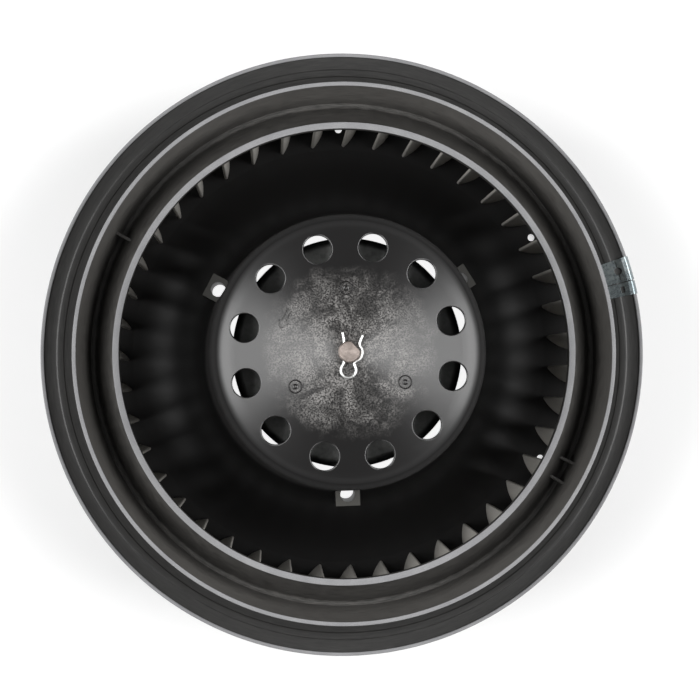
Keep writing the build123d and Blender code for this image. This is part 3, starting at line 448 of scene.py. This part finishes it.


# Moulded plastic with a spark-eroded texture: dark grey. Towards the blades' inner ends a pale grey is
# painted in, broken up by the pits:
# painted light, for the light that reaches them under the ring. Its pits are drawn 0.5 mm wide, coarser than
# they are.
blade_plastic, tree, shader = new_material("polypropylene_painted_light", roughness=0.5)
place = add(tree, "ShaderNodeTexCoord", {}).outputs["Object"]
flat_place = add(tree, "ShaderNodeVectorMath", {0: place, 1: (1, 1, 0)}, operation="MULTIPLY").outputs[0]
reach = add(tree, "ShaderNodeVectorMath", {0: flat_place}, operation="LENGTH").outputs["Value"]
pits = add(tree, "ShaderNodeTexNoise", {"Vector": place, "Scale": 1 / (blade_pit * MM), "Detail": 5.0})
pits = pits.outputs[0]
# Painted light: the blades turn pale from 106 mm inwards to 98 mm, at their inner ends.
painted_light = add(tree, "ShaderNodeMapRange", {0: reach, 1: painted_light_starts * MM, 2: painted_light_ends * MM,
                                        3: 0.0, 4: 1.0}).outputs[0]
painted_light_pits = add(tree, "ShaderNodeMapRange", {0: pits, 1: 0.3, 2: 0.7, 3: 0.7, 4: 1.0}).outputs[0]
painted_light_pits = add(tree, "ShaderNodeMath", {0: painted_light_pits, 1: painted_light}, operation="MULTIPLY").outputs[0]
colour = add(tree, "ShaderNodeMix",
             {0: painted_light_pits, 6: linear("242322"), 7: linear("b5b2ac")}, data_type="RGBA")
bump = add(tree, "ShaderNodeBump", {"Strength": 0.5, "Distance": 0.02 * MM, "Height": pits})
tree.links.new(colour.outputs[2], shader.inputs["Base Color"])
tree.links.new(bump.outputs[0], shader.inputs["Normal"])
bm = bmesh.new()
start = radians(blade_inlet_angle)
turn = start + asin((blade_finish - blade_start) / blade_bend - sin(start))
centre = Vector((blade_start + blade_bend * sin(start), blade_bend * cos(start), 0))
direction = Vector((-sin(start), -cos(start), 0))
near, far = blade_bend - blade_thickness / 2, blade_bend + blade_thickness / 2
section = [(near, blade_foot), (far, blade_foot), (far, blade_blank), (near, blade_blank)]
face = bm.faces.new([bm.verts.new(centre + direction * reach + Vector((0, 0, z)))
                     for reach, z in section])
bmesh.ops.spin(bm, geom=face.edges[:] + face.verts[:] + [face], cent=centre, axis=(0, 0, 1),
               angle=turn, steps=24)
bmesh.ops.remove_doubles(bm, verts=bm.verts[:], dist=0.001)
bmesh.ops.recalc_face_normals(bm, faces=bm.faces[:])
# The upright edges at the blade's two ends are rounded, and its top is cut to the ring.
half_way = (blade_foot + blade_blank) / 2
ends = [edge for edge in bm.edges if (edge.verts[0].co.z > half_way) != (edge.verts[1].co.z > half_way)
        and edge.calc_face_angle(0.0) > radians(60)]
bmesh.ops.bevel(bm, geom=ends, offset=blade_thickness * 0.45, segments=4, profile=0.5,
                affect="EDGES", material=-1)
for vertex in bm.verts:
    if vertex.co.z > half_way:
        vertex.co.z = ring_underside(vertex.co.xy.length) + weld_depth
bmesh.ops.rotate(bm, verts=bm.verts[:], cent=(0, 0, 0),
                 matrix=Matrix.Rotation(radians(blade_first), 3, "Z"))
one = bm.verts[:] + bm.edges[:] + bm.faces[:]
bmesh.ops.spin(bm, geom=one, cent=(0, 0, 0), axis=(0, 0, 1),
               angle=radians(360 * (blade_count - 1) / blade_count),
               steps=blade_count - 1, use_duplicate=True)
blades = piece_from(bm, "forward_curved_blades", blade_plastic)
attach(blades, "rotor")
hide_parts("wheel_blades")


# ---- Inlet ring ------------------------------------------------------------------------------
# The inlet ring is a second moulding, welded on the blades. Its lip and outer wall end in flat sealing
# faces, rubbed, with a pale grey painted on them for the sheen they catch from above: a painted highlight.
# Dust lies in streaks along the labyrinth channel.

lip_inner, lip_outer, lip_top = 88.3, 90.8, 86.0
wall_top = 89.0
rim_inner, rim_outer = 119.4, 120.8
rim_low, rim_high = 61.45, 64.55
ring_corners = [
    (lip_inner, lip_foot, 0.4), (shroud_start, lip_foot, 0), (shroud_end, channel_foot, 0.8),
    (flange_start, channel_foot, 0.5), (rim_inner, 62.03, 0.3), (rim_inner, rim_low, 0.2),
    (rim_outer, rim_low, 0.35), (rim_outer, rim_high, 0.35), (rim_inner, rim_high, 0.35),
    (119.35, 63.84, 0.2), (114.5, 63.38, 0.15), (114.25, 63.62, 0.15), (111.75, 63.38, 0.15),
    (111.5, 63.06, 0.15), (102.37, 62.2, 0.8), (106.35, 87.9, 0.5), (106.3, wall_top, 0.18),
    (104.8, wall_top, 0.18), (104.7, 88.3, 0.4), (100.95, 62.3, 2.4), (100.55, 62.3, 0.12),
    (100.3, 62.1, 0.1), (98.92, 62.1, 0.6), (lip_outer, 83.44, 0.5), (lip_outer, lip_top, 0.2),
    (lip_inner, lip_top, 0.2),
]
streak_length, streak_width = 5.0, 0.5
channel_middle = 104.0
ring_grain = 0.6
dust_thickens, dust_thickest = 101.0, 103.5
wall_outside, wall_inside = 106.5, 104.7
# Moulded plastic under dust: dark grey, with pale streaks round the channel that are thickest on
# its outer wall. The plastic's own grain is drawn 0.6 mm wide, coarser than it is.
ring_plastic, tree, shader = new_material("dusty_polypropylene")
place = add(tree, "ShaderNodeTexCoord", {}).outputs["Object"]
flat_place = add(tree, "ShaderNodeVectorMath", {0: place, 1: (1, 1, 0)}, operation="MULTIPLY").outputs[0]
reach = add(tree, "ShaderNodeVectorMath", {0: flat_place}, operation="LENGTH").outputs["Value"]
round_place = add(tree, "ShaderNodeVectorMath", {0: flat_place}, operation="NORMALIZE").outputs[0]
round_place = add(tree, "ShaderNodeVectorMath",
                  {0: round_place, "Scale": channel_middle / streak_length}, operation="SCALE").outputs[0]
height = add(tree, "ShaderNodeSeparateXYZ", {0: place}).outputs["Z"]
profile = add(tree, "ShaderNodeMath", {0: reach, 1: height}, operation="ADD").outputs[0]
profile = add(tree, "ShaderNodeMath", {0: profile, 1: 1 / (streak_width * MM)}, operation="MULTIPLY")
lift = add(tree, "ShaderNodeCombineXYZ", {"Z": profile.outputs[0]}).outputs[0]
streak_place = add(tree, "ShaderNodeVectorMath", {0: round_place, 1: lift}, operation="ADD").outputs[0]
streaks = add(tree, "ShaderNodeTexNoise", {"Vector": streak_place, "Scale": 1.0, "Detail": 4.0,
                                           "Roughness": 0.6}).outputs[0]
grain = add(tree, "ShaderNodeTexNoise", {"Vector": place, "Scale": 1 / (ring_grain * MM), "Detail": 4.0})
dust = add(tree, "ShaderNodeMapRange", {0: streaks, 1: 0.35, 2: 0.75, 3: 0.3, 4: 1.0}).outputs[0]
near_wall = add(tree, "ShaderNodeMapRange", {0: reach, 1: dust_thickens * MM, 2: dust_thickest * MM,
                                             3: 0.9, 4: 1.7}).outputs[0]
in_channel = add(tree, "ShaderNodeMapRange", {0: reach, 1: wall_outside * MM, 2: wall_inside * MM,
                                              3: 0.1, 4: 1.0}).outputs[0]
dust = add(tree, "ShaderNodeMath", {0: dust, 1: in_channel}, operation="MULTIPLY").outputs[0]
dust = add(tree, "ShaderNodeMath", {0: dust, 1: near_wall}, operation="MULTIPLY").outputs[0]
colour = add(tree, "ShaderNodeMix",
             {0: dust, 6: linear("181818"), 7: linear("5f5d5a")}, data_type="RGBA")
rough = add(tree, "ShaderNodeMapRange", {0: dust, 3: 0.36, 4: 0.62}).outputs[0]
bump = add(tree, "ShaderNodeBump", {"Strength": 0.4, "Distance": 0.02 * MM, "Height": grain.outputs[0]})
tree.links.new(colour.outputs[2], shader.inputs["Base Color"])
tree.links.new(rough, shader.inputs["Roughness"])
tree.links.new(bump.outputs[0], shader.inputs["Normal"])
# The rubbed faces are the same plastic, polished and faintly brushed, and painted a pale grey: a painted
# highlight for the sheen these upward faces catch.
sealing_face_painted_sheen = grained("rubbed_polypropylene_painted_sheen", "78787a", "868687", 0.5, rough=(0.5, 0.6),
                       specular_ior_level=0.2)

bm = bmesh.new()
turned(bm, ring_corners, 256)
bmesh.ops.remove_doubles(bm, verts=bm.verts[:], dist=0.002)
for face in bm.faces:
    low = min(vertex.co.z for vertex in face.verts)
    reach = face.calc_center_median().xy.length
    on_lip = low > lip_top - 0.25 and reach < shroud_end
    on_wall = low > wall_top - 0.25
    on_rim = low > rim_high - 0.4 and reach > rim_inner - 0.2
    # The upward faces of the lip, wall and rim take the pale painted highlight.
    face.material_index = int(on_lip or on_wall or on_rim)

# Three upright ribs cross the channel, with their top edges rounded.
rib_angles = (151.9, 329.6, 334.6)
rib_thickness = 1.2
rib_foot, rib_top = 61.5, 70.2
rib = [(98.3, rib_foot), (94.88, rib_top), (102.722, rib_top), (101.3, rib_foot)]
for angle in rib_angles:
    face = bm.faces.new([bm.verts.new((reach, -rib_thickness / 2, z)) for reach, z in rib])
    block = bmesh.ops.extrude_face_region(bm, geom=[face])["geom"]
    moved = [item for item in block if isinstance(item, bmesh.types.BMVert)]
    bmesh.ops.translate(bm, vec=(0, rib_thickness, 0), verts=moved)
    made = list(face.verts) + moved
    crest = {edge for vertex in made for edge in vertex.link_edges
             if all(end.co.z > rib_top - 0.1 for end in edge.verts)}
    rounded = bmesh.ops.bevel(bm, geom=list(crest), offset=0.25, segments=2, profile=0.5,
                              affect="EDGES", material=-1)
    made = {vertex for vertex in made if vertex.is_valid} | set(rounded["verts"])
    bmesh.ops.rotate(bm, verts=list(made), cent=(0, 0, 0),
                     matrix=Matrix.Rotation(radians(angle), 3, "Z"))
ring = piece_from(bm, "labyrinth_inlet_ring", ring_plastic, sealing_face_painted_sheen)
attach(ring, "rotor")
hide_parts("inlet_ring")


# ---- Balance clips and cotter ----------------------------------------------------------------
# The clips are punched from zinc-plated strip and hooked over the ring's rim to balance the
# wheel. The hairpin cotter is bright spring wire, pushed through the shaft above the crown.

# Bright zinc plate is a cool grey metal, smooth and shiny, with a faint mottle.
clip_zinc = grained("bright_zinc_plate", "727c80", "9aa2a3", 1.2, relief=0.01, rough=(0.24, 0.32),
                    metallic=1.0)
clip_sheet = 0.6
clip_inner, clip_outer = 109.2, 121.3
clip_bottom, clip_top = 61.13, 65.17
clip_leg, clip_step = 63.4, 64.0
step_starts, step_ends = 115.6, 118.0
clip_hook = 117.8
clip_edge = 0.1
punch_reach, punch_height, punch_length = 115.8, 63.5, 8


def punched_clip(name, first, last, hole, slit_reach, slit_width):
    """A strip bent over the rim, with a hole and a slit punched through its top leg."""
    bm = bmesh.new()
    path = [(clip_inner, clip_leg), (step_starts, clip_step), (step_ends, clip_top),
            (clip_outer - 1.3, clip_top), (clip_outer, clip_top - 1.3),
            (clip_outer, clip_bottom + 0.5), (clip_outer - 0.5, clip_bottom), (clip_hook, clip_bottom)]
    start = radians(first)
    points = [bm.verts.new((reach * cos(start), reach * sin(start), z)) for reach, z in path]
    for near, far in zip(points, points[1:]):
        bm.edges.new((near, far))
    bmesh.ops.bevel(bm, geom=points[1:-1], offset=0.6, segments=6, profile=0.5, affect="VERTICES",
                    material=-1, clamp_overlap=True)
    bmesh.ops.spin(bm, geom=bm.verts[:] + bm.edges[:], cent=(0, 0, 0), axis=(0, 0, 1),
                   angle=radians(last - first), steps=8)
    bmesh.ops.remove_doubles(bm, verts=bm.verts[:], dist=0.002)
    bmesh.ops.recalc_face_normals(bm, faces=bm.faces[:])
    half_way = (clip_bottom + clip_top) / 2
    if sum(face.normal.z for face in bm.faces if face.calc_center_median().z > half_way) < 0:
        bmesh.ops.reverse_faces(bm, faces=bm.faces[:])
    bmesh.ops.solidify(bm, geom=bm.faces[:], thickness=clip_sheet)
    strip = piece_from(bm, name, clip_zinc)
    middle = radians((first + last) / 2)
    reach = punch_reach
    tools = []
    # A hole no wider than the slit lies wholly within it, and is not cut again.
    for shape in ("hole", "slit") if hole > slit_width / 2 else ("slit",):
        punch = bmesh.new()
        if shape == "hole":
            bmesh.ops.create_cone(punch, cap_ends=True, segments=40, radius1=hole, radius2=hole,
                                  depth=punch_length)
        else:
            bmesh.ops.create_cube(punch, size=1.0)
            bmesh.ops.scale(punch, vec=(slit_width, 2 * slit_reach, punch_length), verts=punch.verts[:])
        bmesh.ops.rotate(punch, verts=punch.verts[:], cent=(0, 0, 0), matrix=Matrix.Rotation(middle, 3, "Z"))
        bmesh.ops.translate(punch, vec=(reach * cos(middle), reach * sin(middle), punch_height),
                            verts=punch.verts[:])
        tools.append(piece_from(punch, f"{name}_{shape}_punch"))
        cut = strip.modifiers.new(f"punched_{shape}", "BOOLEAN")
        cut.object = tools[-1]
    edge = strip.modifiers.new("deburred", "BEVEL")
    edge.width = clip_edge * MM
    edge.segments = 2
    edge.limit_method = "ANGLE"
    edge.angle_limit = radians(50)
    shaped = bpy.data.meshes.new_from_object(strip.evaluated_get(bpy.context.evaluated_depsgraph_get()))
    shaped.shade_flat()
    strip.modifiers.clear()
    strip.data = shaped
    for tool in tools:
        bpy.data.objects.remove(tool)
    return strip


clip_large = punched_clip("punched_balance_clip_large", 14.5, 19.1, 1.5, 4.2, 0.35)
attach(clip_large, "rotor")
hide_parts("balance_clip_large")
clip_small = punched_clip("punched_balance_clip_small", 11.7, 14.3, 0.75, 1.3, 1.5)
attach(clip_small, "rotor")
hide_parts("balance_clip_small")

# Drawn spring wire is smooth and nearly white under the lamps, with a faint cloudiness.
bright_wire = grained("bright_spring_wire", "d2d3d2", "f0f0ee", 0.4, rough=(0.4, 0.5), metallic=1.0)
wire_radius = 0.5
wire_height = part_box("hairpin_cotter")[0].z / MM + wire_radius
cotter_route = [
    (-2.5, 7.1), (-2.2, 5.6), (-1.9, 4.0), (-1.9, 0.0), (-1.9, -3.4), (-2.1, -4.4), (-3.1, -5.8),
    (-3.1, -7.9), (-1.6, -9.5), (0.9, -9.5), (2.5, -7.9), (2.5, -5.8), (1.6, -4.5), (2.2, -3.6),
    (3.9, -2.9), (4.9, -0.9), (4.8, 0.8), (3.9, 2.2), (3.7, 3.3), (5.0, 6.1),
]
curve = bpy.data.curves.new("hairpin_cotter_wire", "CURVE")
curve.dimensions = "3D"
line = curve.splines.new("NURBS")
line.points.add(len(cotter_route) - 1)
for point, (x, y) in zip(line.points, cotter_route):
    point.co = (x * MM, y * MM, wire_height * MM, 1.0)
line.order_u = 3
line.use_endpoint_u = True
line.resolution_u = 8
curve.bevel_depth = wire_radius * MM
curve.bevel_resolution = 5
curve.use_fill_caps = True
curve.materials.append(bright_wire)
cotter = bpy.data.objects.new("hairpin_cotter_wire", curve)
bpy.context.scene.collection.objects.link(cotter)
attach(cotter, "rotor")
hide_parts("hairpin_cotter")


# ---- Studio ----------------------------------------------------------------------------------
# A white bench stands in a dim, pale room. A soft square lamp lights the wheel from each side,
# at 45 degrees, and a light under the bench shines up through the wheel.

glow_reach = 0.105
glow_edge = 0.9
far_starts, far_ends = 0.5, 2.5
# A matt white board. It glows under the wheel, and far off, for the camera alone, it pales into
# the room, so that no horizon shows.
floor_white, tree, shader = new_material("light_table", roughness=0.8)
place = add(tree, "ShaderNodeTexCoord", {}).outputs["Object"]
reach = add(tree, "ShaderNodeVectorMath", {0: place}, operation="LENGTH").outputs["Value"]
glow = add(tree, "ShaderNodeMapRange", {0: reach, 1: glow_reach, 2: glow_reach * glow_edge,
                                        3: 0.0, 4: 0.9}).outputs[0]
seen = add(tree, "ShaderNodeLightPath", {}).outputs["Is Camera Ray"]
far = add(tree, "ShaderNodeMapRange", {0: reach, 1: far_starts, 2: far_ends,
                                       3: 0.0, 4: 0.9}).outputs[0]
glow = add(tree, "ShaderNodeMath", {0: far, 1: seen, 2: glow}, operation="MULTIPLY_ADD").outputs[0]
tree.links.new(glow, shader.inputs["Emission Strength"])
shader.inputs["Emission Color"].default_value = linear("ffffff")
shader.inputs["Base Color"].default_value = linear("f2f2f2")
bm = bmesh.new()
bmesh.ops.create_grid(bm, x_segments=8, y_segments=8, size=3000)
floor = piece_from(bm, "bench", floor_white)

middle = Vector((0.0021, 0.0014, 0.086))


def aimed(item, place, target, up):
    """Put a light or camera at a place, looking at a target."""
    back = (Vector(place) - Vector(target)).normalized()
    side = Vector(up).cross(back).normalized()
    turn = Matrix((side, back.cross(side), back)).transposed()
    item.matrix_world = Matrix.Translation(place) @ turn.to_4x4()
    bpy.context.scene.collection.objects.link(item)


lamp_size = 0.8
lamp_power = 13.5
lamp_reach, lamp_height = 0.72, 0.8
for name, place in (("left", (-lamp_reach, 0, lamp_height)), ("right", (lamp_reach, 0, lamp_height))):
    light = bpy.data.lights.new(f"softbox_{name}", "AREA")
    light.shape = "SQUARE"
    light.size = lamp_size
    light.energy = lamp_power
    aimed(bpy.data.objects.new(light.name, light), place, middle, (0, 1, 0))

room_light, room_seen = 0.15, 0.9
world = bpy.data.worlds.new("pale_room")
world.use_nodes = True
seen = add(world.node_tree, "ShaderNodeLightPath", {}).outputs["Is Camera Ray"]
strength = add(world.node_tree, "ShaderNodeMapRange", {0: seen, 3: room_light, 4: room_seen}).outputs[0]
world.node_tree.links.new(strength, world.node_tree.nodes["Background"].inputs["Strength"])
world.node_tree.nodes["Background"].inputs["Color"].default_value = linear("ffffff")
bpy.context.scene.world = world
bpy.context.scene.view_settings.view_transform = "Standard"

camera = bpy.data.cameras.new("camera")
camera.lens = 120.1
camera.sensor_width = 36.0
eye = bpy.data.objects.new("camera", camera)
aimed(eye, (-0.0283, -0.0109, 1.0), middle, (0, 1, 0))
bpy.context.scene.camera = eye
